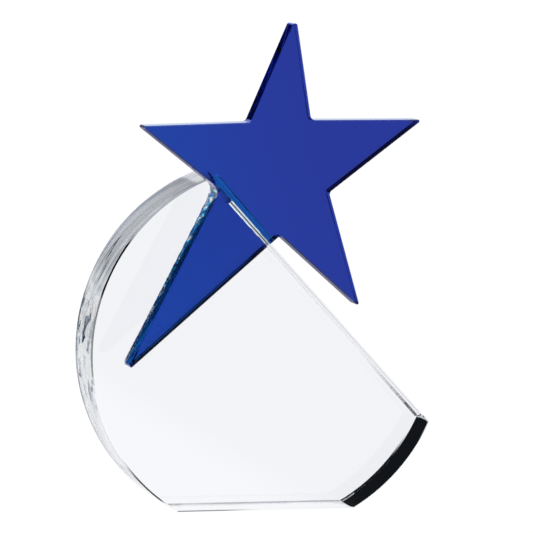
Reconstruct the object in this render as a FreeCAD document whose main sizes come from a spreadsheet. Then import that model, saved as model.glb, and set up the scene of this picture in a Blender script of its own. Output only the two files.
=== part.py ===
import FreeCAD, Part
import math
import os
import Sketcher

# Freestanding crystal award: a clear, thick, truncated disc stands on a flat ground
# into its rim.  A second flat is ground across its upper right side.  A blue
# five-pointed star with one long point is bonded to it: the long point lies on the
# disc's front face, the other four points stand clear of the second flat.
# +Z is up, the front faces -Y and the origin is the centre of the flat base.  Units: mm.

doc = FreeCAD.newDocument("crystal_award")
V = FreeCAD.Vector

DIMENSIONS = [
    ("disc_radius", 76.0),
    ("disc_thickness", 25.0),
    ("centre_height", 66.0),
    ("cut_offset", 29.0),
    ("cut_angle", 43.9),
    ("disc_bevel", 0.6),
    ("star_thickness", 8.0),
    ("star_bevel", 0.4),
    ("tip_radius", 0.7),
    ("top_tip_radius", 1.15),
    ("inner_radius", 2.0),
    ("crook_radius", 5.2),
    ("film_thickness", 0.3),
    ("seam_near", 1.7),
    ("seam_far", 3.6),
    ("seam_recess", 0.3),
    ("seam_top", 60.0),
    ("lug_top", 66.0),
    ("lug_gap", 0.1),
    ("bead_start", 70.0),
    ("bead_length", 36.0),
    ("bead_wide", 1.9),
    ("bead_narrow", 1.2),
    ("bead_depth", 1.4),
    ("bead_slope", 0.7),
    ("bead_end", 1.6),
    ("block_reach", 200.0),
    ("block_margin", 5.0),
    ("top_x", 2.6),
    ("top_z", 202.2),
    ("right_crook_x", 10.5),
    ("right_crook_z", 160.6),
    ("right_x", 58.3),
    ("right_z", 161.3),
    ("lower_crook_x", 19.3),
    ("lower_crook_z", 131.3),
    ("lower_x", 34.5),
    ("lower_z", 84.2),
    ("tail_right_x", -0.8),
    ("tail_right_z", 113.9),
    ("tail_x", -63.7),
    ("tail_z", 58.5),
    ("tail_left_x", -26.6),
    ("tail_left_z", 132.0),
    ("left_x", -60.4),
    ("left_z", 157.5),
    ("left_crook_x", -15.1),
    ("left_crook_z", 159.4),
    ("film_low_right_x", -59.9),
    ("film_low_right_z", 61.2),
    ("film_high_right_x", -5.3),
    ("film_high_right_z", 109.2),
    ("film_low_left_x", -62.3),
    ("film_low_left_z", 63.0),
    ("film_high_left_x", -28.0),
    ("film_high_left_z", 131.2),
]
STAR_CORNERS = ["top", "right_crook", "right", "lower_crook", "lower",
                "tail_right", "tail", "tail_left", "left", "left_crook"]
VALUE = dict(DIMENSIONS)
TOLERANCE = 1e-3

# Every driving dimension sits in one sheet, next to its name.
sheet = doc.addObject("Spreadsheet::Sheet", "Dims")
for row, (name, value) in enumerate(DIMENSIONS, start=1):
    sheet.set("A%d" % row, name)
    sheet.set("B%d" % row, str(value))
    sheet.setAlias("B%d" % row, name)
doc.recompute()


def new_body(label):
    """A design body carrying the piece's own name."""
    body = doc.addObject("PartDesign::Body", label)
    body.Label = label
    return body


def front_sketch(body, name, depth):
    """A sketch facing the front, whose plane lies at y = -depth."""
    sketch = body.newObject("Sketcher::SketchObject", name)
    plane = [o for o in body.Origin.OriginFeatures if o.Role == "XZ_Plane"][0]
    sketch.AttachmentSupport = [(plane, "")]
    sketch.MapMode = "FlatFace"
    sketch.setExpression("AttachmentOffset.Base.z", depth)
    return sketch


def pad(body, sketch, name, length):
    """Give a sketch its thickness, towards the front."""
    feature = body.newObject("PartDesign::Pad", name)
    feature.Profile = sketch
    feature.setExpression("Length", length)
    sketch.Visibility = False
    doc.recompute()
    return feature


def dress(body, kind, name, base, edges, field, value):
    """Round or bevel the chosen edges of a feature."""
    feature = body.newObject("PartDesign::" + kind, name)
    feature.Base = (base, edges)
    feature.setExpression(field, value)
    doc.recompute()
    return feature


def rim_edges(feature, depths):
    """Names of the edges that lie wholly at one of the given depths y."""
    found = []
    for number, edge in enumerate(feature.Shape.Edges, start=1):
        box = edge.BoundBox
        for y in depths:
            if abs(box.YMin - y) < TOLERANCE and abs(box.YMax - y) < TOLERANCE:
                found.append("Edge%d" % number)
    return found


def upright_edges(feature, places):
    """Names of the straight front to back edges that stand at the given (x, z) places."""
    found = []
    for number, edge in enumerate(feature.Shape.Edges, start=1):
        box = edge.BoundBox
        if box.YLength < TOLERANCE or max(box.XLength, box.ZLength) > TOLERANCE:
            continue
        for x, z in places:
            if abs(box.XMin - x) < TOLERANCE and abs(box.ZMin - z) < TOLERANCE:
                found.append("Edge%d" % number)
    return found


def corner_edges(feature, corners):
    """Names of the front to back edges at the named star corners."""
    return upright_edges(feature, [(VALUE[c + "_x"], VALUE[c + "_z"]) for c in corners])


def bind(sketch, constraint, name, formula):
    """Add a constraint, name it and let the sheet drive it."""
    index = sketch.addConstraint(constraint)
    sketch.renameConstraint(index, name)
    sketch.setExpression("Constraints." + name, formula)


def polygon(sketch, corners):
    """Closed outline through corners given as (name, x, z, x formula, z formula)."""
    count = len(corners)
    for i in range(count):
        x1, z1 = corners[i][1:3]
        x2, z2 = corners[(i + 1) % count][1:3]
        sketch.addGeometry(Part.LineSegment(V(x1, z1, 0), V(x2, z2, 0)), False)
    for i in range(count):
        sketch.addConstraint(Sketcher.Constraint("Coincident", i, 2, (i + 1) % count, 1))
    for i, (name, x, z, x_formula, z_formula) in enumerate(corners):
        bind(sketch, Sketcher.Constraint("DistanceX", -1, 1, i, 1, x), name + "_x", x_formula)
        bind(sketch, Sketcher.Constraint("DistanceY", -1, 1, i, 1, z), name + "_z", z_formula)


def cut_frame():
    """Middle of the slanting flat, its outward direction and its upward direction."""
    angle = math.radians(VALUE["cut_angle"])
    normal = V(math.cos(angle), math.sin(angle), 0)
    along = V(-normal.y, normal.x, 0)
    foot = V(0, VALUE["centre_height"], 0) + normal * VALUE["cut_offset"]
    return foot, normal, along


def rim_arc(centre, radius, start, end):
    """Counter-clockwise arc of the rim from one point to another."""
    circle = Part.Circle(centre, V(0, 0, 1), radius)
    first = circle.parameter(start)
    last = circle.parameter(end)
    if last < first:
        last += 2 * math.pi
    return Part.ArcOfCircle(circle, first, last)


def make_disc():
    """Clear disc: round rim, flat base below and a slanting flat at the upper right."""
    body = new_body("crystal_disc")
    sketch = front_sketch(body, "disc_outline", "-Dims.disc_thickness / 2")
    radius = VALUE["disc_radius"]
    height = VALUE["centre_height"]
    centre = V(0, height, 0)
    foot, normal, along = cut_frame()
    half_cut = math.sqrt(radius ** 2 - VALUE["cut_offset"] ** 2)
    half_base = math.sqrt(radius ** 2 - height ** 2)
    upper = foot + along * half_cut
    lower = foot - along * half_cut
    left = V(-half_base, 0, 0)
    right = V(half_base, 0, 0)
    sketch.addGeometry(rim_arc(centre, radius, upper, left), False)
    sketch.addGeometry(Part.LineSegment(left, right), False)
    sketch.addGeometry(rim_arc(centre, radius, right, lower), False)
    sketch.addGeometry(Part.LineSegment(lower, upper), False)
    for first, end, second, start in ((0, 2, 1, 1), (1, 2, 2, 1), (2, 2, 3, 1), (3, 2, 0, 1)):
        sketch.addConstraint(Sketcher.Constraint("Coincident", first, end, second, start))
    sketch.addConstraint(Sketcher.Constraint("Coincident", 0, 3, 2, 3))
    sketch.addConstraint(Sketcher.Constraint("PointOnObject", 0, 3, -2))
    sketch.addConstraint(Sketcher.Constraint("PointOnObject", 1, 1, -1))
    sketch.addConstraint(Sketcher.Constraint("PointOnObject", 1, 2, -1))
    bind(sketch, Sketcher.Constraint("DistanceY", -1, 1, 0, 3, height),
         "centre_height", "Dims.centre_height")
    bind(sketch, Sketcher.Constraint("Radius", 0, radius), "rim_radius", "Dims.disc_radius")
    bind(sketch, Sketcher.Constraint("Distance", 0, 3, 3, VALUE["cut_offset"]),
         "cut_offset", "Dims.cut_offset")
    slope = Sketcher.Constraint("Angle", 3, math.radians(90 + VALUE["cut_angle"]))
    bind(sketch, slope, "cut_slope", "(90 + Dims.cut_angle) * 1 deg")
    blank = pad(body, sketch, "disc_blank", "Dims.disc_thickness")
    half_thickness = VALUE["disc_thickness"] / 2
    edges = rim_edges(blank, (-half_thickness, half_thickness))
    dress(body, "Chamfer", "disc_arris", blank, edges, "Size", "Dims.disc_bevel")
    return body


def make_star_blank():
    """Blue star plate before it is parted: ten corners, the lower left point drawn out."""
    body = new_body("star_blank")
    back = "Dims.disc_thickness / 2 + Dims.film_thickness"
    sketch = front_sketch(body, "star_outline", back)
    corners = []
    for name in STAR_CORNERS:
        corners.append((name, VALUE[name + "_x"], VALUE[name + "_z"],
                        "Dims.%s_x" % name, "Dims.%s_z" % name))
    polygon(sketch, corners)
    plate = pad(body, sketch, "star_plate", "Dims.star_thickness")
    edges = corner_edges(plate, ["right", "lower", "tail", "left"])
    points = dress(body, "Fillet", "star_tips", plate, edges, "Radius", "Dims.tip_radius")
    edges = corner_edges(points, ["top"])
    tips = dress(body, "Fillet", "star_top_tip", points, edges, "Radius", "Dims.top_tip_radius")
    edges = corner_edges(tips, ["right_crook", "lower_crook", "tail_right", "left_crook"])
    crooks = dress(body, "Fillet", "star_crooks", tips, edges, "Radius", "Dims.inner_radius")
    edges = corner_edges(crooks, ["tail_left"])
    crook = dress(body, "Fillet", "star_long_crook", crooks, edges, "Radius",
                  "Dims.crook_radius")
    near = -VALUE["disc_thickness"] / 2 - VALUE["film_thickness"]
    edges = rim_edges(crook, (near, near - VALUE["star_thickness"]))
    dress(body, "Chamfer", "star_arris", crook, edges, "Size", "Dims.star_bevel")
    return body


def side_block(name, start, length, top, front, depth):
    """Block squared to the slanting flat, reaching up along it as far as top."""
    block = doc.addObject("Part::Box", name)
    block.setExpression("Length", length)
    block.setExpression("Width", depth)
    block.setExpression("Height", "Dims.block_reach + " + top)
    turn = FreeCAD.Rotation(V(0, -1, 0), VALUE["cut_angle"])
    block.Placement = FreeCAD.Placement(V(0, 0, 0), turn)
    block.setExpression("Placement.Rotation.Angle", "Dims.cut_angle")
    out = "(Dims.cut_offset + %s)" % start
    block.setExpression("Placement.Base.x", out + " * cos(Dims.cut_angle)"
                        " + Dims.block_reach * sin(Dims.cut_angle)")
    block.setExpression("Placement.Base.y", front)
    block.setExpression("Placement.Base.z", "Dims.centre_height + " + out
                        + " * sin(Dims.cut_angle) - Dims.block_reach * cos(Dims.cut_angle)")
    return block


def combined(label, kind, base, tool):
    """Boolean of two objects, labelled for what it makes."""
    result = doc.addObject("Part::" + kind, label)
    result.Label = label
    result.Base = base
    result.Tool = tool
    doc.recompute()
    return result


def make_star_pieces(blank):
    """Part the plate along the slanting flat and fill the joint with adhesive.

    The joint is open up to seam_top.  Above that the long point closes up against
    the head, to within lug_gap, as far as the long crook.
    """
    plate_front = "-Dims.disc_thickness / 2 - Dims.film_thickness - Dims.star_thickness"
    front = plate_front + " - Dims.block_margin"
    depth = "Dims.star_thickness + 2 * Dims.block_margin"
    inside = side_block("inside_block", "-Dims.seam_near - Dims.block_reach",
                        "Dims.block_reach", "Dims.lug_top", front, depth)
    head = combined("star_head", "Cut", blank, inside)
    lug_side = side_block("lug_block", "-Dims.seam_near - Dims.lug_gap - Dims.block_reach",
                          "Dims.block_reach", "Dims.lug_top", front, depth)
    long_point = combined("long_point", "Common", blank, lug_side)
    slot = side_block("joint_slot", "-Dims.seam_far", "Dims.seam_far", "Dims.seam_top",
                      front, depth)
    tail = combined("star_tail", "Cut", long_point, slot)
    joint = side_block("joint_filling", "-Dims.seam_far", "Dims.seam_far - Dims.seam_near",
                       "Dims.seam_top", plate_front + " + Dims.seam_recess",
                       "Dims.star_thickness - Dims.seam_recess")
    seam = combined("seam_adhesive", "Common", blank, joint)
    return head, tail, seam


def make_film():
    """Thin adhesive layer between the long point and the disc, squeezed out a little."""
    body = new_body("bond_film")
    sketch = front_sketch(body, "film_outline", "Dims.disc_thickness / 2")
    corners = []
    for name in ("film_low_right", "film_high_right", "film_high_left", "film_low_left"):
        corners.append((name, VALUE[name + "_x"], VALUE[name + "_z"],
                        "Dims.%s_x" % name, "Dims.%s_z" % name))
    polygon(sketch, corners)
    pad(body, sketch, "film_layer", "Dims.film_thickness")
    return body


def make_bead():
    """Tapering adhesive bead in the corner between the star's back and the slanting flat."""
    body = new_body("bond_bead")
    back = "Dims.disc_thickness / 2 + Dims.film_thickness"
    sketch = front_sketch(body, "bead_outline", back + " - Dims.bead_depth")
    foot, normal, along = cut_frame()
    start = VALUE["bead_start"]
    end = start - VALUE["bead_length"]
    end_formula = "(Dims.bead_start - Dims.bead_length)"
    outline = [("foot_start", "0", "Dims.bead_start", 0, start),
               ("foot_end", "0", end_formula, 0, end),
               ("narrow_end", "Dims.bead_narrow", end_formula, VALUE["bead_narrow"], end),
               ("wide_start", "Dims.bead_wide", "Dims.bead_start", VALUE["bead_wide"], start)]
    corners = []
    for name, out, up, out_value, up_value in outline:
        point = foot + normal * out_value + along * up_value
        out = "(Dims.cut_offset + %s)" % out
        x_formula = "%s * cos(Dims.cut_angle) - %s * sin(Dims.cut_angle)" % (out, up)
        z_formula = ("Dims.centre_height + %s * sin(Dims.cut_angle)"
                     " + %s * cos(Dims.cut_angle)" % (out, up))
        corners.append((name, point.x, point.y, x_formula, z_formula))
    polygon(sketch, corners)
    block = pad(body, sketch, "bead_block", "Dims.bead_depth")
    edges = upright_edges(block, [corners[-1][1:3]])
    ended = dress(body, "Fillet", "bead_end", block, edges, "Radius", "Dims.bead_end")
    skin = -VALUE["disc_thickness"] / 2 - VALUE["film_thickness"] + VALUE["bead_depth"]
    free = []
    for name in rim_edges(ended, (skin,)):
        ends = ended.Shape.getElement(name).Vertexes
        if min((V(v.X, v.Z, 0) - foot).dot(normal) for v in ends) > TOLERANCE:
            free.append(name)
    dress(body, "Chamfer", "bead_slope", ended, free, "Size", "Dims.bead_slope")
    return body


disc = make_disc()
star_blank = make_star_blank()
head, tail, seam = make_star_pieces(star_blank)
film = make_film()
bead = make_bead()
doc.recompute()

for item in doc.Objects:
    state = list(item.State)
    if "Invalid" in state or "Error" in state:
        raise RuntimeError("%s is in state %s" % (item.Label, state))

PIECES = {
    "crystal_disc": disc,
    "star_head": head,
    "star_tail": tail,
    "seam_adhesive": seam,
    "bond_film": film,
    "bond_bead": bead,
}
os.makedirs("parts", exist_ok=True)
for node, piece in PIECES.items():
    shape = piece.Shape
    if shape.isNull() or not shape.isValid():
        raise RuntimeError("%s has no valid shape" % node)
    if len(shape.Solids) != 1:
        raise RuntimeError("%s has %d solids" % (node, len(shape.Solids)))
    print("%s volume %.1f mm3, box %s" % (node, shape.Volume, shape.BoundBox))
    shape.exportStep("parts/%s.step" % node)
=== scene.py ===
import math

import bmesh
import bpy
from mathutils import Matrix, Vector


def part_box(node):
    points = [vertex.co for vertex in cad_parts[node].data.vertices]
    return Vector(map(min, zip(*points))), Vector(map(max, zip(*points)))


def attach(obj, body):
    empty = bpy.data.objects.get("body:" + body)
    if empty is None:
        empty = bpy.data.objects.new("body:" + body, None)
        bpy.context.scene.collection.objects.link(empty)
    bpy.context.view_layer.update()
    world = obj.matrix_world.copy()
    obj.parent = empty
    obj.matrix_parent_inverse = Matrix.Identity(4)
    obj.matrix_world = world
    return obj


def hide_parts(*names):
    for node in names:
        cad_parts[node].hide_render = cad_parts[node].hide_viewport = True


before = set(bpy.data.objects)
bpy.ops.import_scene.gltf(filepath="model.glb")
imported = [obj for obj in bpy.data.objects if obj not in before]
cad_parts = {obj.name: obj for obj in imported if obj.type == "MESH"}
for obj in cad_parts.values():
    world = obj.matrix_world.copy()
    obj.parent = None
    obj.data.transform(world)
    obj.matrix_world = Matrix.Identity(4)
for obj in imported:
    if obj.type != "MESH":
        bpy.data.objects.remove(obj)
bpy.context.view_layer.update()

# Sizes are in metres, and places come from the frame: the disc's face looks along -Y.
# A pair of numbers is a span, where a smooth change starts and ends, unless noted otherwise.
MM = 0.001
X_AXIS = Vector((1, 0, 0))
Y_AXIS = Vector((0, 1, 0))
Z_AXIS = Vector((0, 0, 1))

# Camera fitted to the picture: angles in degrees, distance in metres, lens in millimetres.
CAMERA_AZIMUTH = -18.09
CAMERA_ELEVATION = 6.77
CAMERA_ROLL = 2.06
CAMERA_DISTANCE = 1.52
CAMERA_LENS = 253.5
CAMERA_SENSOR = 36
CAMERA_REACH = 50
CAMERA_AIM_X = -0.0036
CAMERA_AIM_Z = 0.1003
LIGHT_BOUNCES = 40
CLEAR_BOUNCES = 16

# Studio: heights are sines of the elevation, bearings are degrees to the right of +Y.
TENT_WHITE = (1.02, 1.02, 1.02)
SOFT_LIGHT = (0.97, 0.975, 0.985)
DARK_WALL = (0.006, 0.008, 0.011)
WALL_FOOT = (0.07, 0.14)
WALL_TOP = (0.80, 0.94)
WINDOW_BEARING = 20.0
WINDOW_HALF = 14.0
WINDOW_BLUR = 0.5
WINDOW_TOP = (0.42, 0.48)
ABOVE_WINDOW = (1.0, 0.5)

# Floor: its glow, and the patch of it that shows in the crystal's outer reflections.
FLOOR_RADIUS = 4.0
FLOOR_CORNERS = 96
FLOOR_THROUGH = (0.945, 0.95, 0.965)
FLOOR_DARKEST = 0.08
FLOOR_NEAR_START = (-0.75, -0.45)
FLOOR_NEAR_END = (0.5, 0.7)
FLOOR_LEFT = (0.0, 0.05)
FLOOR_BEHIND = (0.0, 0.05)
FLOOR_BEHIND_GLOW = (0.0, 0.3)

# Glass and resin: a depth is the colour that goes with the way through, and its density.
CRYSTAL_IOR = 1.52
RESIN_IOR = 1.47
CLEAR_TINT = (0.985, 0.988, 1.0)
CLEAR_DEPTH = ((0.9, 0.95, 0.99), 0.8)
BLUE_DEPTH = ((0.0, 0.375, 0.875), 40.0)
RESIN_DEPTH = ((0.85, 0.96, 1.0), 40.0)
WHITE = (1.0, 1.0, 1.0)

# Ends of a smooth change, the full-strength share of a line, and the grain of all noise.
RISE = (0.0, 1.0)
FALL = (1.0, 0.0)
LINE_CORE = 0.4
NOISE_ROUGHNESS = 0.55

# How squarely a surface must face a direction to count as a side, a bevel or one flat.
SIDE = (0.1, 0.4)
BEVEL_FROM = (0.5, 0.6)
BEVEL_TO = (0.85, 0.95)
BEVEL_OFF_CUT = (0.55, 0.62)
ONE_FLAT = (0.995, 0.999)
NEAR_FLAT = (0.9, 0.95)
TURNED = (0.85, 0.95)
TURNED_CLOSELY = (0.9, 0.97)
TURNED_LOOSELY = (0.55, 0.75)

# Left rim: UPPER, LOWER and DEEP are distances round it, up from its left-most line. A
# STRETCH is waves per metre round the rim and across it. A LINE is a centre and half width.
LEFT_RIM = (-20 * MM, 0.0)
UPPER_RIM = (20 * MM, 30 * MM)
LOWER_RIM = (-34 * MM, -18 * MM)
STRAND_DRIFT = 0.18
STRAND_STRETCH = (8, 270, 1)
STRAND_DETAIL = 1.5
STRAND_BEND = 0.3
HAIR_STRETCH = (8, 150, 1)
HAIR_DETAIL = 1.0
CHIP_STRETCH = (170, 260, 1)
CHIP_WAVES = 1.5
CHIP_DETAIL = 2.0
CHIP_WANDER = (1.6, 1.6, 0.0)
FROST = 0.7
STRAND_RELIEF = 0.04
CHIP_RELIEF = 0.5

# Painted reflections on the left rim's frosted skin: pale and grey streaks and chips, white
# highlight lines, dark lines and navy glints.
STRAND_EDGE = (0.45, 0.53)
STRAND_PALE_REFLECTION = (0.92, 0.95, 0.99)
STRAND_GREY_REFLECTION = (0.56, 0.6, 0.65)
HIGHLIGHT_LINE = (0.56, 0.03)
HAIR_LINE = (0.5, 0.012)
HAIR_DARK_REFLECTION = (0.06, 0.08, 0.1)
CHIP_EDGE = (0.45, 0.85)
CHIP_PALE_REFLECTION = (0.98, 0.99, 1.0)
CHIP_GREY_REFLECTION = (0.5, 0.56, 0.63)
CHIP_DARK_EDGE = (0.87, 0.91)
CHIP_NAVY_GLINT = (0.01, 0.06, 0.15)
FINE_LINE = (0.52, 0.02)
FINE_PALE_REFLECTION = (0.92, 0.94, 0.96)
FINE_DARK_REFLECTION = (0.22, 0.24, 0.27)
# Painted shade: a navy line along the rim near its back edge.
BRINK_INSET = 1.6 * MM
BRINK_HALF = 1.8 * MM
BRINK_NAVY_SHADE = (0.12, 0.17, 0.24)
# Painted shade: dark and grey lines on the rim's bevels, and a black stretch of them near the
# front.
BEVEL_DARK_SHADE = (0.16, 0.17, 0.19)
BEVEL_GREY_SHADE = (0.42, 0.44, 0.47)
DEEP_FRONT = (-1 * MM, 1 * MM)
DEEP_START = (20 * MM, 24 * MM)
DEEP_END = (46 * MM, 52 * MM)
DEEP_BLACK_SHADE = (0.0004, 0.0005, 0.0006)

# Painted inner reflections of the disc: lines along the slanting flat, and the dark right rim.
# The lines lie at a depth from front to back, which the taper changes along the flat.
CUT_TAPER = -0.05
CUT_FRONT = (-5 * MM, -4 * MM)
CUT_FRONT_REFLECTION = (0.68, 0.69, 0.72)
CUT_BACK_LINE = (7 * MM, 3 * MM)
CUT_BACK_REFLECTION = (0.6, 0.61, 0.64)
CUT_DARK_LINE = (-3 * MM, 2.5 * MM)
CUT_DARK_REFLECTION = (0.3, 0.31, 0.34)
RIGHT_RIM = (20 * MM, 24 * MM)
RIGHT_REFLECTION_SLATE = (0.25, 0.30, 0.36)
RIGHT_MIRROR = 0.8

# Star: face colours, painted light and shade on the sides, and where they lie. A WAY is a
# direction.
STAR_LEFT = (0.020, 0.078, 0.423)
STAR_RIGHT = (0.031, 0.053, 0.363)
STAR_RUN = (-0.03, 0.075)
STAR_RUN_WAY = (0.94, 0, 0.34)
# Painted shade and light on the star's sides: navy shade on them all, lit azure on the long
# point's side and the top sides, lit violet on the lower sides.
SIDE_SHADE_NAVY = (0.012, 0.03, 0.22)
TAIL_FROM = (-1 * MM, -0.5 * MM)
TAIL_SIDE_WAY = (0.8, 0, -0.6)
TAIL_LIT_AZURE = (0.02, 0.6, 1.0)
TOP_LIT_AZURE = (0.02, 0.30, 0.85)
LOWER_LEFT_WAY = (-0.62, 0, -0.78)
LOWER_LEFT_LIT_VIOLET = (0.05, 0.05, 0.45)
LOWER_RIGHT_WAY = (0.6, 0, -0.8)
LOWER_RIGHT_OUT = (3 * MM, 5 * MM)
LOWER_RIGHT_LIT_VIOLET = (0.25, 0.3, 0.95)
SLIT_START = (-0.5 * MM, -0.3 * MM)
SLIT_END = (7 * MM, 7.5 * MM)
SLIT_INNER = (-4.2 * MM, -4.0 * MM)
SLIT_OUTER = (-1.5 * MM, -1.3 * MM)
# Painted glint: azure light in the narrow gap above the joint, partly frosted.
SLIT_GLINT_AZURE = (0.3, 0.8, 1.0)
SLIT_FROST = 0.9
LOWER_RIGHT_FROST = 0.85
SIDE_FROST = 0.8
# Painted light: azure on the star's back where the bead of resin is bonded to it.
WET_LIT_AZURE = (0.006, 0.24, 0.52)
WET_EDGE = 0.2 * MM
WET_START = 1.4 * MM
WET_SEAM_EDGE = 0.1 * MM
WET_BACK = (-0.2 * MM, -0.1 * MM)

# Resin pieces: their colours, the lumps of their skins and their shapes.
FILM_TINT = (0.97, 0.99, 1.0)
SEAM_TINT = (0.97, 1.0, 1.0)
BEAD_TINT = (0.85, 0.98, 1.0)
LIP_TINT = (0.92, 1.0, 1.0)
FINE_LUMPS = 900.0
BROAD_LUMPS = 300.0
LUMP_DETAIL = 2.0
FILM_LUMP_DEPTH = 0.12 * MM
BEAD_LUMP_DEPTH = 0.05 * MM
SEAM_LUMP_DEPTH = 0.02 * MM
LIP_LUMP_DEPTH = 0.14 * MM
SEAM_LINE_PLACE = 0.6
SEAM_LINE_HALF = 0.27 * MM
SEAM_LINE_NAVY = (0.0, 0.01, 0.04)
SEAM_LINE_EDGE = (0.6, 1.2)
# Painted refraction: azure patches on the lip stand in for the blue star seen through the clear
# resin.
MOTTLE_REFRACTED_AZURE = (0.0, 0.16, 0.6)
MOTTLE_WAVES = 260.0
MOTTLE_BEND = 0.8
MOTTLE_EDGE = (0.5, 0.54)

RESIN_GAP = 0.02 * MM
BRIM_STEPS = 6
BEAD_STEPS = 48
BEAD_BRIM = 0.7 * MM
BEAD_ROUNDING = 1.6 * MM
BEAD_THINNEST = 0.05
SEAM_STEPS = 40
SEAM_ACROSS = 8
SEAM_INSET = 0.35 * MM
SEAM_SINK = 0.2 * MM
FILM_STEP = 0.6 * MM
FILM_WANDER = 0.28 * MM
FILM_RIPPLE = 1.7 * MM
FILM_SEED = 3.0
FILM_FADE = 6
FILM_LEAST_STEPS = 4
FILM_INSET = 0.3 * MM
FILM_BULGE_PLACE = 0.15 * MM
FILM_BULGE = 0.12 * MM
LONG_SIDE_WAY = Vector((-0.88, 0, 0.47))
ARM_SIDE_WAY = Vector((-0.58, 0, -0.81))
LIP_STEPS = 120
CROOK_STEPS = 16
LIP_GAP = 0.03 * MM
# At the long point's tip, and how much more in the crook.
LIP_WIDE = (0.35 * MM, 1.0 * MM)
LIP_TALL = (1.0 * MM, 3.6 * MM)
LIP_FADE = 20
LIP_THINNEST = 0.03
# Powers that round the fillet's section, outward and forward.
LIP_ROUNDING = (0.8, 0.9)

# Unevenness of the resin pieces: amount, waves along the piece and seed.
BEAD_PATTERN = (0.05, 9, 1.0)
SEAM_PATTERN = (0.1, 12, 2.0)
LIP_WIDE_PATTERN = (0.35, 48, 0.4)
LIP_TALL_PATTERN = (0.25, 41, 2.6)
# The sines that make it up: height, waves and share of the seed.
RIPPLES = ((1.0, 2.1, 1.0), (0.6, 5.3, 2.2), (0.4, 11.7, 0.7))

# How close or how alike CAD faces and corners must be to count as the ones looked for.
SIDE_TILT = 0.01
UP_AND_RIGHT = 0.2
SAME_WAY = 0.9
ON_FACE = 0.02 * MM
AT_END = 0.05 * MM
SAME_CORNER = 0.1 * MM


def slanting_flat():
    """Outward direction of the disc's slanting flat and how far out it lies."""
    best = None
    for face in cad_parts["crystal_disc"].data.polygons:
        turned = min(face.normal.x, face.normal.z) > UP_AND_RIGHT
        if turned and abs(face.normal.y) < SIDE_TILT:
            if best is None or face.area > best.area:
                best = face
    normal = best.normal.normalized()
    return normal, normal.dot(best.center)


def extent(node, direction):
    """Lowest and highest reach of a CAD node along a direction."""
    reach = [v.co.dot(direction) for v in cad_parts[node].data.vertices]
    return min(reach), max(reach)


DISC_LOW, DISC_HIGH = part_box("crystal_disc")
DISC_FRONT = DISC_LOW.y
DISC_BACK = DISC_HIGH.y
STAR_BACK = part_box("star_head")[1].y
CUT_NORMAL, CUT_LEVEL = slanting_flat()
CUT_UP = Vector((-CUT_NORMAL.z, 0, CUT_NORMAL.x))
BEAD_END, BEAD_START = extent("bond_bead", CUT_UP)
BEAD_WIDE = extent("bond_bead", CUT_NORMAL)[1] - CUT_LEVEL
BEAD_NARROW = max(v.co.dot(CUT_NORMAL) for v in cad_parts["bond_bead"].data.vertices
                  if v.co.dot(CUT_UP) < BEAD_END + AT_END) - CUT_LEVEL
SEAM_INNER, SEAM_OUTER = extent("seam_adhesive", CUT_NORMAL)
SEAM_LOW, SEAM_HIGH = extent("seam_adhesive", CUT_UP)
RIM_RADIUS = -DISC_LOW.x
BASE_HALF = max(v.co.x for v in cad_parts["crystal_disc"].data.vertices
                if v.co.z < AT_END)
RIM_HEIGHT = math.sqrt(RIM_RADIUS ** 2 - BASE_HALF ** 2)


def new_tree(name):
    """A material with an empty node tree and its output node."""
    material = bpy.data.materials.new(name)
    material.use_nodes = True
    tree = material.node_tree
    tree.nodes.clear()
    output = tree.nodes.new("ShaderNodeOutputMaterial")
    return material, tree, output


def add_node(tree, kind, **settings):
    """A shader node with its properties set."""
    node = tree.nodes.new("ShaderNode" + kind)
    for key, value in settings.items():
        setattr(node, key, value)
    return node


def link(tree, source, target):
    """Join two sockets."""
    tree.links.new(source, target)


def glass(name, tint, ior, depth):
    """Polished glass with a colour of its own and one that deepens with the way through."""
    material, tree, output = new_tree(name)
    shader = add_node(tree, "BsdfPrincipled")
    shader.inputs["Base Color"].default_value = tint + (1,)
    shader.inputs["Transmission Weight"].default_value = 1
    shader.inputs["IOR"].default_value = ior
    shader.inputs["Roughness"].default_value = 0.0
    link(tree, shader.outputs["BSDF"], output.inputs["Surface"])
    volume = add_node(tree, "VolumeAbsorption")
    colour, density = depth
    volume.inputs["Color"].default_value = colour + (1,)
    volume.inputs["Density"].default_value = density
    link(tree, volume.outputs["Volume"], output.inputs["Volume"])
    return material, tree, shader


def math_node(tree, operation, first, second=None):
    """A maths node fed by sockets or plain numbers; returns its output."""
    node = add_node(tree, "Math", operation=operation)
    for index, value in enumerate((first, second)):
        if value is None:
            continue
        if isinstance(value, (int, float)):
            node.inputs[index].default_value = value
        else:
            link(tree, value, node.inputs[index])
    return node.outputs[0]


def inverse(tree, value):
    """One less a value."""
    return math_node(tree, "SUBTRACT", 1.0, value)


def product(tree, *factors):
    """Product of several sockets or plain numbers."""
    total = factors[0]
    for factor in factors[1:]:
        total = math_node(tree, "MULTIPLY", total, factor)
    return total


def greatest(tree, *values):
    """Greatest of several sockets."""
    top = values[0]
    for value in values[1:]:
        top = math_node(tree, "MAXIMUM", top, value)
    return top


def along(tree, position, direction):
    """How far a point lies along a direction."""
    node = add_node(tree, "VectorMath", operation="DOT_PRODUCT")
    link(tree, position, node.inputs[0])
    node.inputs[1].default_value = direction
    return node.outputs["Value"]


def across_face(tree, normal, direction):
    """How squarely a surface faces along a direction, seen from inside or outside."""
    return math_node(tree, "ABSOLUTE", along(tree, normal, direction))


def ramp(tree, value, span, ends=RISE):
    """Smooth change from one end to the other as a value crosses a span."""
    node = add_node(tree, "MapRange", interpolation_type="SMOOTHSTEP")
    link(tree, value, node.inputs["Value"])
    node.inputs["From Min"].default_value = span[0]
    node.inputs["From Max"].default_value = span[1]
    node.inputs["To Min"].default_value = ends[0]
    node.inputs["To Max"].default_value = ends[1]
    return node.outputs["Result"]


def shifted(span, offset):
    """A span moved along by an offset."""
    return span[0] + offset, span[1] + offset


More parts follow.
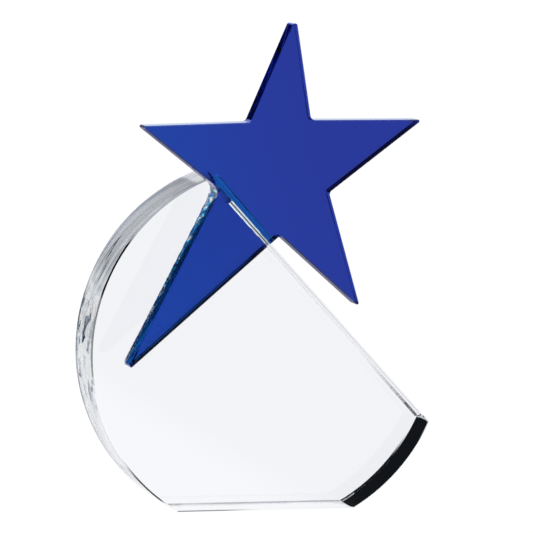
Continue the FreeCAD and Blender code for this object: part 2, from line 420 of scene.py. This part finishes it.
def line_at(tree, value, line):
    """One where a value is close to a line's centre, nothing at its half width and beyond."""
    centre, half = line
    off = math_node(tree, "ABSOLUTE", math_node(tree, "SUBTRACT", value, centre))
    return ramp(tree, off, (LINE_CORE * half, half), FALL)


def blend_colours(tree, factor, first, second):
    """Mix of two colours, given as sockets or as plain numbers."""
    node = add_node(tree, "Mix", data_type="RGBA")
    link(tree, factor, node.inputs["Factor"])
    for index, colour in ((6, first), (7, second)):
        if isinstance(colour, tuple):
            node.inputs[index].default_value = colour + (1,)
        else:
            link(tree, colour, node.inputs[index])
    return node.outputs[2]


def stretched(tree, position, stretch):
    """Coordinates scaled by a number for each axis."""
    mapping = add_node(tree, "Mapping")
    mapping.inputs["Scale"].default_value = stretch
    link(tree, position, mapping.inputs["Vector"])
    return mapping.outputs["Vector"]


def waves(tree, position, scale, detail, distortion=0.0):
    """Soft noise at a scale given in waves per unit of the coordinates."""
    noise = add_node(tree, "TexNoise")
    noise.inputs["Scale"].default_value = scale
    noise.inputs["Detail"].default_value = detail
    noise.inputs["Roughness"].default_value = NOISE_ROUGHNESS
    noise.inputs["Distortion"].default_value = distortion
    link(tree, position, noise.inputs["Vector"])
    return noise.outputs["Fac"]


def chips(tree, position):
    """Sharp-edged cells: a random value for each one, and the way out from its middle."""
    spread = stretched(tree, position, CHIP_STRETCH)
    noise = add_node(tree, "TexNoise")
    noise.inputs["Scale"].default_value = CHIP_WAVES
    noise.inputs["Detail"].default_value = CHIP_DETAIL
    link(tree, spread, noise.inputs["Vector"])
    wander = add_node(tree, "VectorMath", operation="MULTIPLY_ADD")
    link(tree, noise.outputs["Color"], wander.inputs[0])
    wander.inputs[1].default_value = CHIP_WANDER
    link(tree, spread, wander.inputs[2])
    cells = add_node(tree, "TexVoronoi", feature="F1")
    cells.inputs["Scale"].default_value = 1.0
    link(tree, wander.outputs["Vector"], cells.inputs["Vector"])
    split = add_node(tree, "SeparateXYZ")
    link(tree, cells.outputs["Color"], split.inputs["Vector"])
    return split.outputs["X"], cells.outputs["Distance"]


def rim_coordinates(tree, position):
    """Distance round the rim from its left-most line (up positive), and the rim unrolled."""
    split = add_node(tree, "SeparateXYZ")
    link(tree, position, split.inputs["Vector"])
    rise = math_node(tree, "SUBTRACT", split.outputs["Z"], RIM_HEIGHT)
    outward = math_node(tree, "MULTIPLY", split.outputs["X"], -1)
    angle = math_node(tree, "ARCTAN2", rise, outward)
    round_rim = math_node(tree, "MULTIPLY", angle, RIM_RADIUS)
    drift = math_node(tree, "MULTIPLY", round_rim, STRAND_DRIFT)
    combine = add_node(tree, "CombineXYZ")
    link(tree, round_rim, combine.inputs["X"])
    link(tree, math_node(tree, "ADD", split.outputs["Y"], drift), combine.inputs["Y"])
    return round_rim, combine.outputs["Vector"]


def surface(tree):
    """Sockets for place and true normal, and for being seen from inside or from outside."""
    geometry = add_node(tree, "NewGeometry")
    inside = geometry.outputs["Backfacing"]
    return (geometry.outputs["Position"], geometry.outputs["True Normal"], inside,
            inverse(tree, inside))


def left_rim_masks(tree, position, normal, outside):
    """Where the rim's left part lies and where its bevels lie, both only from outside."""
    facing = across_face(tree, normal, Y_AXIS)
    across_cut = across_face(tree, normal, CUT_NORMAL)
    left = ramp(tree, along(tree, position, X_AXIS), LEFT_RIM, FALL)
    rim = product(tree, left, outside, ramp(tree, facing, SIDE, FALL),
                  ramp(tree, across_cut, ONE_FLAT, FALL),
                  ramp(tree, across_face(tree, normal, Z_AXIS), ONE_FLAT, FALL))
    bevel = product(tree, left, outside, ramp(tree, facing, BEVEL_FROM),
                    ramp(tree, facing, BEVEL_TO, FALL),
                    ramp(tree, across_cut, BEVEL_OFF_CUT, FALL))
    return rim, bevel


def right_rim_mask(tree, position, normal, inside):
    """Where the rim's right part lies, only from inside."""
    return product(tree, ramp(tree, along(tree, position, X_AXIS), RIGHT_RIM),
                   ramp(tree, across_face(tree, normal, Y_AXIS), SIDE, FALL), inside,
                   ramp(tree, across_face(tree, normal, CUT_NORMAL), NEAR_FLAT, FALL),
                   ramp(tree, across_face(tree, normal, Z_AXIS), NEAR_FLAT, FALL))


def strand_reflections(tree, strands, hairs):
    """Painted reflections at the rim's top: pale and grey strands, white highlight and dark
    lines.
    """
    drawn = blend_colours(tree, ramp(tree, strands, STRAND_EDGE), STRAND_PALE_REFLECTION, STRAND_GREY_REFLECTION)
    drawn = blend_colours(tree, line_at(tree, strands, HIGHLIGHT_LINE), drawn, WHITE)
    return blend_colours(tree, line_at(tree, hairs, HAIR_LINE), drawn, HAIR_DARK_REFLECTION)


def chip_reflections(tree, chip):
    """Painted reflections on the rim's broken middle: pale and grey chips, a few navy glints."""
    broken = blend_colours(tree, ramp(tree, chip, CHIP_EDGE), CHIP_PALE_REFLECTION, CHIP_GREY_REFLECTION)
    return blend_colours(tree, ramp(tree, chip, CHIP_DARK_EDGE), broken, CHIP_NAVY_GLINT)


def fine_reflections(tree, hairs):
    """Painted reflections at the bottom of the rim: fine dark lines."""
    return blend_colours(tree, line_at(tree, hairs, FINE_LINE), FINE_PALE_REFLECTION, FINE_DARK_REFLECTION)


def clear_crystal():
    """Optical crystal: the left rim is a frosted skin with painted reflections, the rest is
    polished.

    Lines along the slanting flat and the dark right rim are painted reflections: tinted mirrors
    met from inside.
    """
    material, tree, shader = glass("clear_crystal", CLEAR_TINT, CRYSTAL_IOR, CLEAR_DEPTH)
    position, normal, inside, outside = surface(tree)
    rim, bevel = left_rim_masks(tree, position, normal, outside)
    depth = along(tree, position, Y_AXIS)
    round_rim, unrolled = rim_coordinates(tree, position)
    upper = ramp(tree, round_rim, UPPER_RIM)
    lower = ramp(tree, round_rim, LOWER_RIM, FALL)
    ends = math_node(tree, "ADD", upper, lower)
    middle = inverse(tree, ends)
    strands = waves(tree, stretched(tree, unrolled, STRAND_STRETCH), 1.0, STRAND_DETAIL,
                    STRAND_BEND)
    hairs = waves(tree, stretched(tree, unrolled, HAIR_STRETCH), 1.0, HAIR_DETAIL, STRAND_BEND)
    chip, slope = chips(tree, unrolled)

    # Painted reflections on the left rim's skin.
    shade = blend_colours(tree, upper, fine_reflections(tree, hairs),
                          strand_reflections(tree, strands, hairs))
    shade = blend_colours(tree, middle, shade, chip_reflections(tree, chip))
    # Painted shade: a navy line near the rim's back edge, dark and grey bevel lines, and a black
    # stretch near the front.
    brink = line_at(tree, depth, (DISC_BACK - BRINK_INSET, BRINK_HALF))
    shade = blend_colours(tree, product(tree, brink, inverse(tree, upper)), shade, BRINK_NAVY_SHADE)
    shade = blend_colours(tree, rim, CLEAR_TINT, shade)
    deep = product(tree, ramp(tree, depth, DEEP_FRONT, FALL), ramp(tree, round_rim, DEEP_START),
                   ramp(tree, round_rim, DEEP_END, FALL))
    line = blend_colours(tree, upper, BEVEL_DARK_SHADE, BEVEL_GREY_SHADE)
    shade = blend_colours(tree, bevel, shade, line)
    shade = blend_colours(tree, product(tree, bevel, deep), shade, DEEP_BLACK_SHADE)

    # Painted reflections: grey and dark lines on the slanting flat and a slate right rim, as
    # tinted mirrors met from inside.
    within = product(tree, ramp(tree, across_face(tree, normal, CUT_NORMAL), ONE_FLAT), inside)
    slant = math_node(tree, "ADD", depth,
                      product(tree, along(tree, position, CUT_UP), CUT_TAPER))
    front_band = ramp(tree, slant, CUT_FRONT, FALL)
    back_line = line_at(tree, slant, CUT_BACK_LINE)
    dark_line = line_at(tree, slant, CUT_DARK_LINE)
    for mask, grey in ((front_band, CUT_FRONT_REFLECTION), (back_line, CUT_BACK_REFLECTION),
                       (dark_line, CUT_DARK_REFLECTION)):
        shade = blend_colours(tree, product(tree, within, mask), shade, grey)
    right = right_rim_mask(tree, position, normal, inside)
    shade = blend_colours(tree, right, shade, RIGHT_REFLECTION_SLATE)
    link(tree, shade, shader.inputs["Base Color"])

    lines = product(tree, within, greatest(tree, front_band, dark_line, back_line))
    mirror = greatest(tree, lines, product(tree, right, RIGHT_MIRROR))
    link(tree, mirror, shader.inputs["Metallic"])
    frost = product(tree, greatest(tree, rim, bevel), FROST)
    link(tree, inverse(tree, frost), shader.inputs["Transmission Weight"])

    height = math_node(tree, "ADD", product(tree, strands, ends, STRAND_RELIEF),
                       product(tree, slope, middle, CHIP_RELIEF))
    bump = add_node(tree, "Bump")
    bump.inputs["Distance"].default_value = MM
    link(tree, rim, bump.inputs["Strength"])
    link(tree, height, bump.inputs["Height"])
    link(tree, bump.outputs["Normal"], shader.inputs["Normal"])
    return material


def wet_mask(tree, position, out, up):
    """Where the bead of resin touches the back of the star."""
    reach = ramp(tree, up, (BEAD_END, BEAD_START), (BEAD_NARROW, BEAD_WIDE))
    inner = ramp(tree, math_node(tree, "SUBTRACT", out, reach), (-WET_EDGE, WET_EDGE), FALL)
    started = ramp(tree, math_node(tree, "SUBTRACT", up, BEAD_START), (0.0, WET_START), FALL)
    clear_of_seam = ramp(tree, math_node(tree, "SUBTRACT", out, SEAM_OUTER - CUT_LEVEL),
                         (-WET_SEAM_EDGE, WET_SEAM_EDGE))
    back = ramp(tree, along(tree, position, Y_AXIS), shifted(WET_BACK, STAR_BACK))
    return product(tree, inner, started, clear_of_seam, back)


def slit_mask(tree, out, up):
    """The narrow gap that carries on from the upper end of the joint."""
    return product(tree, ramp(tree, up, shifted(SLIT_START, SEAM_HIGH)),
                   ramp(tree, up, shifted(SLIT_END, SEAM_HIGH), FALL),
                   ramp(tree, out, SLIT_INNER), ramp(tree, out, SLIT_OUTER, FALL))


def blue_crystal():
    """Cobalt blue crystal, a touch greener to the left and more violet to the right.

    The star's narrow sides carry painted shade and light, and a few are partly frosted.
    """
    material, tree, shader = glass("blue_crystal", WHITE, CRYSTAL_IOR, BLUE_DEPTH)
    position, normal, _, outside = surface(tree)
    out = math_node(tree, "SUBTRACT", along(tree, position, CUT_NORMAL), CUT_LEVEL)
    up = along(tree, position, CUT_UP)
    side = ramp(tree, across_face(tree, normal, Y_AXIS), SIDE, FALL)
    shell = product(tree, side, outside)
    tail = product(tree, side, ramp(tree, out, TAIL_FROM, FALL),
                   ramp(tree, across_face(tree, normal, TAIL_SIDE_WAY), TURNED_LOOSELY))
    top = product(tree, shell, ramp(tree, along(tree, normal, Z_AXIS), TURNED))
    lower_left = product(tree, shell, ramp(tree, along(tree, normal, LOWER_LEFT_WAY), TURNED))
    slit = product(tree, side, slit_mask(tree, out, up))
    lower_right = product(tree, side, ramp(tree, out, LOWER_RIGHT_OUT),
                          ramp(tree, across_face(tree, normal, LOWER_RIGHT_WAY), TURNED_CLOSELY))

    run = ramp(tree, along(tree, position, STAR_RUN_WAY), STAR_RUN)
    tint = blend_colours(tree, run, STAR_LEFT, STAR_RIGHT)
    # Painted shade and light over the face colour: on the sides, in the slit and on the bonded
    # back.
    for mask, colour in ((side, SIDE_SHADE_NAVY), (tail, TAIL_LIT_AZURE), (top, TOP_LIT_AZURE),
                         (lower_left, LOWER_LEFT_LIT_VIOLET), (slit, SLIT_GLINT_AZURE),
                         (lower_right, LOWER_RIGHT_LIT_VIOLET),
                         (wet_mask(tree, position, out, up), WET_LIT_AZURE)):
        tint = blend_colours(tree, mask, tint, colour)
    link(tree, tint, shader.inputs["Base Color"])
    frost = greatest(tree, product(tree, slit, SLIT_FROST),
                     product(tree, lower_right, LOWER_RIGHT_FROST),
                     product(tree, greatest(tree, top, lower_left), SIDE_FROST))
    link(tree, inverse(tree, frost), shader.inputs["Transmission Weight"])
    return material


def adhesive(name, tint, lumps, depth, line=None, mottle=None):
    """Cured clear resin with an uneven, glossy skin, its lumps given in waves per metre.

    A line is a darker streak along the joint: how far out, its half width and its colour.
    A mottle is the colour of scattered patches of painted light, which stand in for the blue
    star seen through the resin.
    """
    material, tree, shader = glass(name, tint, RESIN_IOR, RESIN_DEPTH)
    position = add_node(tree, "NewGeometry").outputs["Position"]
    bump = add_node(tree, "Bump")
    bump.inputs["Distance"].default_value = depth
    bump.inputs["Strength"].default_value = 1.0
    link(tree, waves(tree, position, lumps, LUMP_DETAIL), bump.inputs["Height"])
    link(tree, bump.outputs["Normal"], shader.inputs["Normal"])
    if line:
        centre, half, colour = line
        off = math_node(tree, "SUBTRACT", along(tree, position, CUT_NORMAL), centre)
        edge = (SEAM_LINE_EDGE[0] * half, SEAM_LINE_EDGE[1] * half)
        near = ramp(tree, math_node(tree, "ABSOLUTE", off), edge, FALL)
        link(tree, blend_colours(tree, near, tint, colour), shader.inputs["Base Color"])
    if mottle:
        cloud = waves(tree, position, MOTTLE_WAVES, LUMP_DETAIL, MOTTLE_BEND)
        patches = ramp(tree, cloud, MOTTLE_EDGE)
        link(tree, blend_colours(tree, patches, tint, mottle), shader.inputs["Base Color"])
    return material


def dress(node, material):
    """Give a CAD node its material."""
    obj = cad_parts[node]
    obj.data.materials.clear()
    obj.data.materials.append(material)
    return obj


def make_floor():
    """Pale glowing floor, so that the crystal stands on plain white.

    Outer reflections see only a patch of it, and light through the crystal a greyer tone.
    """
    bpy.ops.mesh.primitive_circle_add(vertices=FLOOR_CORNERS, radius=FLOOR_RADIUS,
                                      fill_type="NGON")
    floor = bpy.context.object
    floor.name = "stage_floor"
    material, tree, output = new_tree("stage_floor")
    glow = add_node(tree, "Emission")
    path = add_node(tree, "LightPath")
    position = add_node(tree, "NewGeometry").outputs["Position"]
    depth = along(tree, position, Y_AXIS)
    near = product(tree, ramp(tree, depth, FLOOR_NEAR_START),
                   ramp(tree, depth, FLOOR_NEAR_END, FALL))
    left = ramp(tree, along(tree, position, X_AXIS), FLOOR_LEFT, FALL)
    behind = ramp(tree, depth, FLOOR_BEHIND, FLOOR_BEHIND_GLOW)
    patch = product(tree, near, greatest(tree, left, behind), 1 - FLOOR_DARKEST)
    reflected = math_node(tree, "ADD", FLOOR_DARKEST, patch)
    colour = blend_colours(tree, path.outputs["Is Camera Ray"], FLOOR_THROUGH, TENT_WHITE)
    link(tree, colour, glow.inputs["Color"])
    level = add_node(tree, "Mix", data_type="FLOAT")
    link(tree, path.outputs["Is Reflection Ray"], level.inputs["Factor"])
    level.inputs[2].default_value = 1.0
    link(tree, reflected, level.inputs[3])
    link(tree, level.outputs[0], glow.inputs["Strength"])
    link(tree, glow.outputs["Emission"], output.inputs["Surface"])
    floor.data.materials.append(material)
    return floor


def make_world():
    """Plain white studio, with soft light overhead.

    Reflections and light through the crystal see dark walls with one white window, which
    is half as bright above its top. Camera and diffuse rays see plain white all round.
    """
    world = bpy.data.worlds.new("studio")
    bpy.context.scene.world = world
    world.use_nodes = True
    tree = world.node_tree
    tree.nodes.clear()
    output = tree.nodes.new("ShaderNodeOutputWorld")
    where = add_node(tree, "TexCoord")
    split = add_node(tree, "SeparateXYZ")
    link(tree, where.outputs["Generated"], split.inputs["Vector"])
    height = split.outputs["Z"]
    bearing = math_node(tree, "ARCTAN2", split.outputs["X"], split.outputs["Y"])
    off = math_node(tree, "ABSOLUTE",
                    math_node(tree, "SUBTRACT", bearing, math.radians(WINDOW_BEARING)))
    window_edge = (math.radians(WINDOW_HALF - WINDOW_BLUR),
                   math.radians(WINDOW_HALF + WINDOW_BLUR))
    window = product(tree, ramp(tree, off, window_edge, FALL),
                     ramp(tree, height, WINDOW_TOP, ABOVE_WINDOW))
    walls = product(tree, ramp(tree, height, WALL_FOOT), ramp(tree, height, WALL_TOP, FALL))
    dark = product(tree, walls, inverse(tree, window))
    shade = blend_colours(tree, dark, SOFT_LIGHT, DARK_WALL)
    path = add_node(tree, "LightPath")
    open_light = greatest(tree, path.outputs["Is Camera Ray"], path.outputs["Is Diffuse Ray"])
    seen = blend_colours(tree, open_light, shade, TENT_WHITE)
    back = add_node(tree, "Background")
    link(tree, seen, back.inputs["Color"])
    link(tree, back.outputs["Background"], output.inputs["Surface"])
    return world


def make_camera():
    """Long-lens camera a little to the left of the front and a little above it."""
    azimuth = math.radians(CAMERA_AZIMUTH)
    elevation = math.radians(CAMERA_ELEVATION)
    roll = math.radians(CAMERA_ROLL)
    forward = Vector((-math.sin(azimuth) * math.cos(elevation),
                      math.cos(azimuth) * math.cos(elevation), -math.sin(elevation)))
    level = Vector((math.cos(azimuth), math.sin(azimuth), 0))
    upright = level.cross(forward)
    right = level * math.cos(roll) + upright * math.sin(roll)
    top = upright * math.cos(roll) - level * math.sin(roll)
    aim = Vector((CAMERA_AIM_X, DISC_FRONT, CAMERA_AIM_Z))
    camera = bpy.data.objects.new("camera", bpy.data.cameras.new("camera"))
    bpy.context.scene.collection.objects.link(camera)
    matrix = Matrix((right, top, -forward)).transposed().to_4x4()
    matrix.translation = aim - forward * CAMERA_DISTANCE
    camera.matrix_world = matrix
    camera.data.lens = CAMERA_LENS
    camera.data.sensor_width = CAMERA_SENSOR
    camera.data.clip_end = CAMERA_REACH
    bpy.context.scene.camera = camera
    return camera


def place(point_out, point_up, y):
    """Point given by its distance out from the slanting flat, its place along it and y."""
    point = CUT_NORMAL * (CUT_LEVEL + point_out) + CUT_UP * point_up
    return Vector((point.x, y, point.z))


def ripple(value, seed):
    """Gentle repeatable unevenness between about -1 and 1."""
    return sum(height * math.sin(count * value + share * seed)
               for height, count, share in RIPPLES) / 2


def uneven(pattern, share, strength=1.0):
    """Factor near one that wanders along a piece."""
    amount, count, seed = pattern
    return 1 + amount * strength * ripple(count * share, seed)


def swept(name, rings, material, node=None):
    """Closed skin through a row of rings, with both ends capped."""
    mesh = bpy.data.meshes.new(name)
    shape = bmesh.new()
    rows = [[shape.verts.new(point) for point in ring] for ring in rings]
    for first, second in zip(rows, rows[1:]):
        count = len(first)
        for i in range(count):
            j = (i + 1) % count
            shape.faces.new((first[i], first[j], second[j], second[i]))
    shape.faces.new(list(reversed(rows[0])))
    shape.faces.new(rows[-1])
    bmesh.ops.recalc_face_normals(shape, faces=shape.faces)
    shape.to_mesh(mesh)
    shape.free()
    obj = bpy.data.objects.new(name, mesh)
    bpy.context.scene.collection.objects.link(obj)
    mesh.materials.append(material)
    if node:
        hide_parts(node)
    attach(obj, "root")
    return obj


def quarter_turn():
    """Evenly spaced angles over a quarter turn, for a rounded brim."""
    return [step / BRIM_STEPS * math.pi / 2 for step in range(BRIM_STEPS + 1)]


def make_bead():
    """Tapering bead of resin in the corner behind the star, flat with a rounded brim."""
    rings = []
    depth = extent("bond_bead", Y_AXIS)[1] - STAR_BACK - RESIN_GAP
    front = STAR_BACK + RESIN_GAP
    run = BEAD_START - BEAD_END
    for step in range(BEAD_STEPS + 1):
        share = step / BEAD_STEPS
        up = BEAD_START - RESIN_GAP - share * run
        wide = BEAD_WIDE + share * (BEAD_NARROW - BEAD_WIDE)
        wide *= uneven(BEAD_PATTERN, share)
        started = min(1.0, share * run / BEAD_ROUNDING)
        wide *= math.sqrt(max(BEAD_THINNEST, 1 - (1 - started) ** 2))
        ring = [place(RESIN_GAP, up, front), place(RESIN_GAP, up, STAR_BACK + depth)]
        radius = min(BEAD_BRIM, 0.5 * wide)
        for angle in quarter_turn():
            out = wide - radius + radius * math.sin(angle)
            thinning = 1 - radius / BEAD_BRIM * (1 - math.cos(angle))
            ring.append(place(out, up, front + (depth - RESIN_GAP) * thinning))
        ring.append(place(wide, up, front))
        rings.append(ring)
    return swept("adhesive_bead", rings, AZURE_RESIN, "bond_bead")


def make_seam():
    """Resin in the joint between the star's head and its long point, sunk along its middle."""
    inner = SEAM_INNER + RESIN_GAP - CUT_LEVEL
    outer = SEAM_OUTER - RESIN_GAP - CUT_LEVEL
    low = SEAM_LOW + SEAM_INSET
    high = SEAM_HIGH - SEAM_INSET
    front = extent("seam_adhesive", Y_AXIS)[0]
    back = STAR_BACK - RESIN_GAP
    rings = []
    for step in range(SEAM_STEPS + 1):
        share = step / SEAM_STEPS
        up = low + share * (high - low)
        deepest = SEAM_SINK * uneven(SEAM_PATTERN, share)
        ring = []
        for turn in range(SEAM_ACROSS + 1):
            part = turn / SEAM_ACROSS
            sink = deepest * (1 - (2 * part - 1) ** 2)
            ring.append(place(inner + part * (outer - inner), up, front + sink))
        ring.append(place(outer, up, back))
        ring.append(place(inner, up, back))
        rings.append(ring)
    return swept("adhesive_seam", rings, SEAM_RESIN, "seam_adhesive")


def film_outline():
    """Corners of the film between the long point and the disc, in order round it."""
    corners = []
    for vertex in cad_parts["bond_film"].data.vertices:
        flat = Vector((vertex.co.x, 0, vertex.co.z))
        if all((flat - other).length > SAME_CORNER for other in corners):
            corners.append(flat)
    middle = sum(corners, Vector()) / len(corners)
    return sorted(corners, key=lambda c: math.atan2(c.z - middle.z, c.x - middle.x))


def make_film():
    """Thin resin layer wetting both the long point and the disc, with uneven sides."""
    corners = film_outline()
    middle = sum(corners, Vector()) / len(corners)
    border = []
    for first, second in zip(corners, corners[1:] + corners[:1]):
        run = second - first
        outward = Vector((run.z, 0, -run.x)).normalized()
        if outward.dot(first - middle) < 0:
            outward = -outward
        steps = max(FILM_LEAST_STEPS, int(run.length / FILM_STEP))
        for step in range(steps):
            share = step / steps
            fade = min(1.0, FILM_FADE * share, FILM_FADE * (1 - share))
            wander = FILM_WANDER * ripple(run.length * share / FILM_RIPPLE, FILM_SEED) * fade
            border.append(first + run * share + outward * (wander - FILM_INSET))
    rings = []
    for y, spread in ((DISC_FRONT + RESIN_GAP, 0), (DISC_FRONT - FILM_BULGE_PLACE, FILM_BULGE),
                      (STAR_BACK - RESIN_GAP, 0)):
        ring = []
        for point in border:
            outward = (point - middle).normalized() * spread
            ring.append(Vector((point.x, y, point.z)) + outward)
        rings.append(ring)
    return swept("adhesive_film", rings, RESIN, "bond_film")


def side_face(node, rough_normal):
    """Outward direction, level and corner points of a node's largest side face that way."""
    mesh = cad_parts[node].data
    best = None
    for face in mesh.polygons:
        if abs(face.normal.y) < SIDE_TILT and face.normal.dot(rough_normal) > SAME_WAY:
            if best is None or face.area > best.area:
                best = face
    normal = best.normal.normalized()
    level = normal.dot(best.center)
    flat = [Vector((v.co.x, 0, v.co.z)) for v in mesh.vertices
            if abs(v.co.dot(normal) - level) < ON_FACE]
    return normal, level, flat


def lip_path():
    """Points and outward directions along the long point's left side and round its crook."""
    normal, _, flat = side_face("star_tail", LONG_SIDE_WAY)
    arm_normal, arm_level, _ = side_face("star_head", ARM_SIDE_WAY)
    direction = Vector((normal.z, 0, -normal.x))
    low = min(flat, key=lambda point: point.dot(direction))
    high = max(flat, key=lambda point: point.dot(direction))
    radius = (arm_normal.dot(high) - arm_level) / (1 - normal.dot(arm_normal))
    centre = high + normal * radius
    path = []
    for step in range(LIP_STEPS + 1):
        path.append((low + (high - low) * step / LIP_STEPS, normal))
    turn = normal.angle(arm_normal)
    across = (arm_normal - normal * math.cos(turn)) / math.sin(turn)
    for step in range(1, CROOK_STEPS + 1):
        angle = turn * step / CROOK_STEPS
        outward = normal * math.cos(angle) + across * math.sin(angle)
        path.append((centre - outward * radius, outward))
    return path


def make_lip():
    """Fillet of squeezed-out resin beside the long point, lumpy and tall in the crook."""
    path = lip_path()
    foot = DISC_FRONT - LIP_GAP
    rings = []
    for index, (point, outward) in enumerate(path):
        share = index / (len(path) - 1)
        swell = share ** 3
        wide = LIP_WIDE[0] + LIP_WIDE[1] * swell
        wide *= uneven(LIP_WIDE_PATTERN, share, share)
        tall = LIP_TALL[0] + LIP_TALL[1] * swell
        tall *= uneven(LIP_TALL_PATTERN, share, share)
        fade = min(1.0, LIP_FADE * share, LIP_FADE * (1 - share))
        fade = math.sqrt(max(LIP_THINNEST, fade))
        ring = [point + outward * LIP_GAP + Vector((0, foot, 0))]
        for angle in quarter_turn():
            out = LIP_GAP + wide * fade * math.cos(angle) ** LIP_ROUNDING[0]
            y = foot - tall * fade * math.sin(angle) ** LIP_ROUNDING[1]
            ring.append(point + outward * out + Vector((0, y, 0)))
        rings.append(ring)
    return swept("adhesive_lip", rings, LIP_RESIN)


bpy.context.scene.view_settings.view_transform = "Standard"
bpy.context.scene.cycles.max_bounces = LIGHT_BOUNCES
bpy.context.scene.cycles.glossy_bounces = LIGHT_BOUNCES
bpy.context.scene.cycles.transmission_bounces = LIGHT_BOUNCES
bpy.context.scene.cycles.transparent_max_bounces = CLEAR_BOUNCES
make_camera()
make_floor()
make_world()
CLEAR = clear_crystal()
BLUE = blue_crystal()
RESIN = adhesive("cured_adhesive", FILM_TINT, FINE_LUMPS, FILM_LUMP_DEPTH)
AZURE_RESIN = adhesive("bead_adhesive", BEAD_TINT, BROAD_LUMPS, BEAD_LUMP_DEPTH)
SEAM_LINE = (SEAM_INNER + SEAM_LINE_PLACE * (SEAM_OUTER - SEAM_INNER), SEAM_LINE_HALF,
             SEAM_LINE_NAVY)
SEAM_RESIN = adhesive("seam_adhesive", SEAM_TINT, BROAD_LUMPS, SEAM_LUMP_DEPTH, SEAM_LINE)
# Lip resin with painted azure patches for the blue star seen through it.
LIP_RESIN = adhesive("lip_adhesive", LIP_TINT, BROAD_LUMPS, LIP_LUMP_DEPTH,
                     mottle=MOTTLE_REFRACTED_AZURE)
dress("crystal_disc", CLEAR)
dress("star_head", BLUE)
dress("star_tail", BLUE)
make_film()
make_seam()
make_bead()
make_lip()
